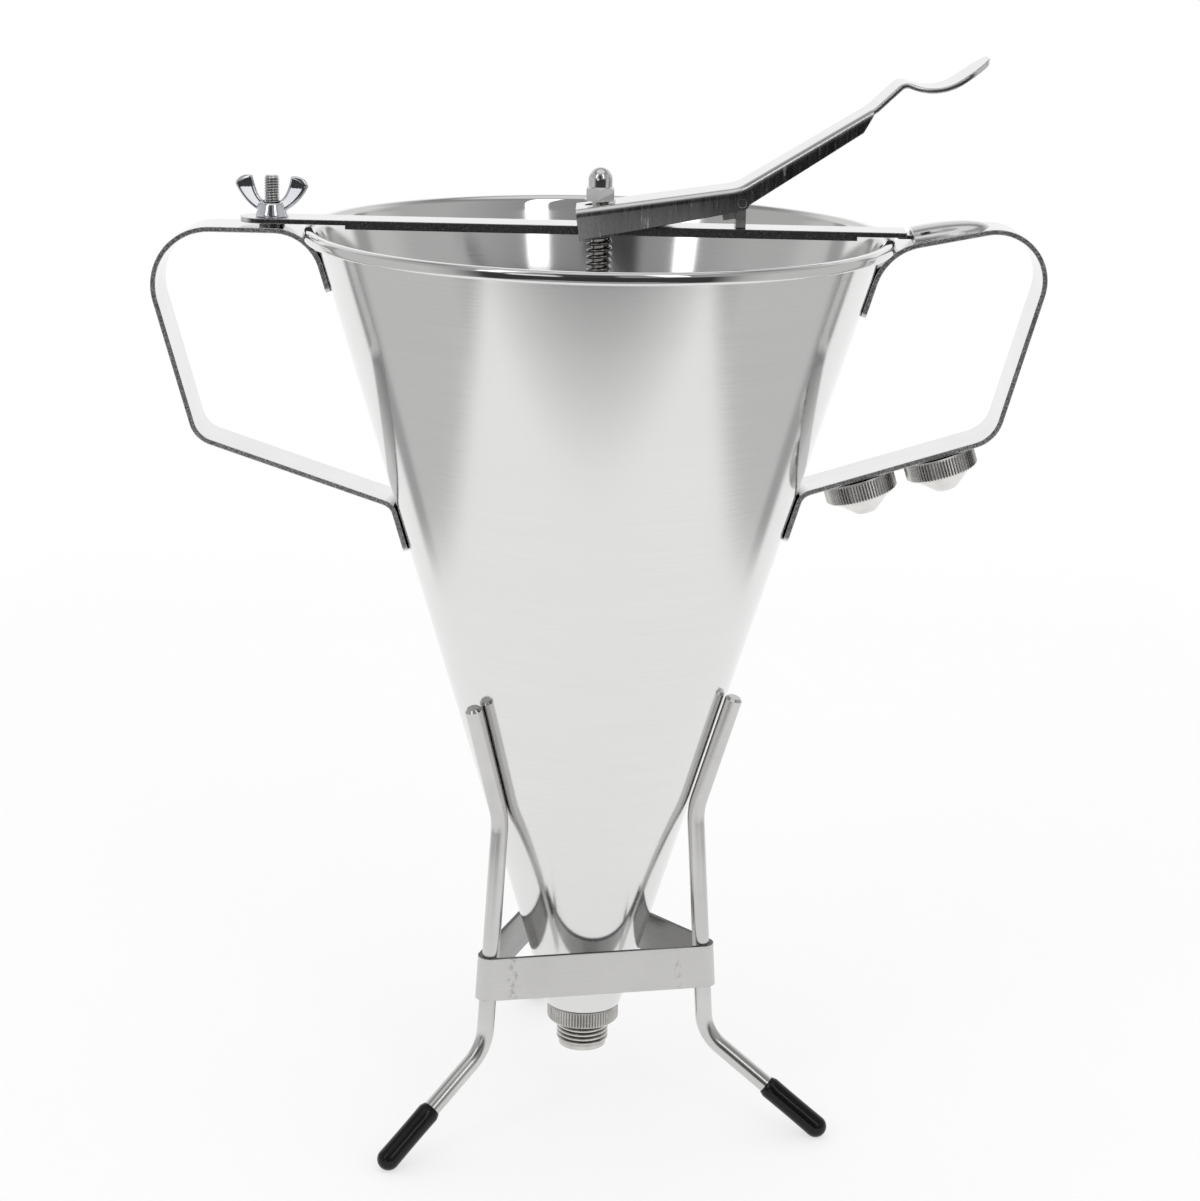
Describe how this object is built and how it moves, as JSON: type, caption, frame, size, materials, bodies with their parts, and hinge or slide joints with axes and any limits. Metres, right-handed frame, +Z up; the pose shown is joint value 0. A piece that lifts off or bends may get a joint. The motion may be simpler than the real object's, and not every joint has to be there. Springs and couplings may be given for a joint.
{
  "type": "piston funnel",
  "caption": "Conical steel hopper with strap handles and a thumb lever that lifts a sprung piston rod off its outlet seat, resting in a wire stand.",
  "frame": {"origin": "on the floor, on the funnel's axis", "axes": "+Z up along the funnel's axis, +X towards the thumb rest and the nozzle store, -Y towards the viewer"},
  "size_m": [0.2718, 0.18, 0.3434],
  "materials": {
    "sheet_steel": "finely brushed sheet, polished rim",
    "strap_steel": "polished strip with ground edges",
    "bar_steel": "polished pressed strip",
    "lever_steel": "polished, scratched along the sides",
    "wire_steel": "satin drawn wire",
    "band_steel": "satin strip",
    "turned_steel": "turned, bright",
    "nickel": "nickel plate, straight knurl",
    "zinc_plate": "bright plate",
    "spring_steel": "dark drawn wire",
    "black_sleeve": "glossy dipped vinyl",
    "seal_rubber": "matte"
  },
  "bodies": {
    "stand": {"leg_left": "wire_steel", "leg_right": "wire_steel", "leg_rear": "wire_steel", "foot_left": "black_sleeve", "foot_right": "black_sleeve", "foot_rear": "black_sleeve", "stand_band": "band_steel"},
    "funnel": {"funnel_cone": "sheet_steel", "outlet_spout": "nickel", "handle_left": "strap_steel", "handle_right": "strap_steel", "nozzle_bosses": "nickel", "crossbar": "bar_steel", "clamp_stud": "turned_steel", "stud_spacer": "turned_steel", "fulcrum_post": "bar_steel", "return_spring": "spring_steel"},
    "wing_nut": {"wing_nut": "zinc_plate"},
    "lever": {"lever": "lever_steel", "fulcrum_pin": "turned_steel"},
    "piston": {"piston_rod": "turned_steel", "cap_nut": "zinc_plate", "nut_washer": "turned_steel", "spring_washer": "turned_steel", "spring_pin": "turned_steel", "valve_plug": "turned_steel", "seal_ring": "seal_rubber"},
    "nozzle_small": {"nozzle_small": "nickel"},
    "nozzle_medium": {"nozzle_medium": "nickel"}
  },
  "joints": [
    {"name": "funnel_lift", "type": "slide", "parent": "stand", "child": "funnel", "axis": [0, 0, 1], "range_m": [0, 0.15]},
    {"name": "lever_press", "type": "hinge", "parent": "funnel", "child": "lever", "pos_m": [0.0427, 0, 0.2995], "axis": [0, 1, 0], "range_deg": [0, 16], "stiffness_Nm_per_rad": 1.8, "springref_deg": -14.32},
    {"name": "rod_lift", "type": "slide", "parent": "funnel", "child": "piston", "axis": [0, 0, 1], "range_m": [0, 0.012], "deforming": ["return_spring"]},
    {"name": "wing_nut_turn", "type": "hinge", "parent": "funnel", "child": "wing_nut", "pos_m": [-0.0998, 0, 0.2912], "axis": [0, 0, 1], "continuous": true},
    {"name": "nozzle_small_off", "type": "slide", "parent": "funnel", "child": "nozzle_small", "axis": [0.3049, 0, -0.9524], "range_m": [0, 0.03]},
    {"name": "nozzle_medium_off", "type": "slide", "parent": "funnel", "child": "nozzle_medium", "axis": [0.3049, 0, -0.9524], "range_m": [0, 0.03]}
  ],
  "couplings": [
    {"joint": "rod_lift", "follows": "lever_press", "m_per_rad": 0.0425}
  ]
}
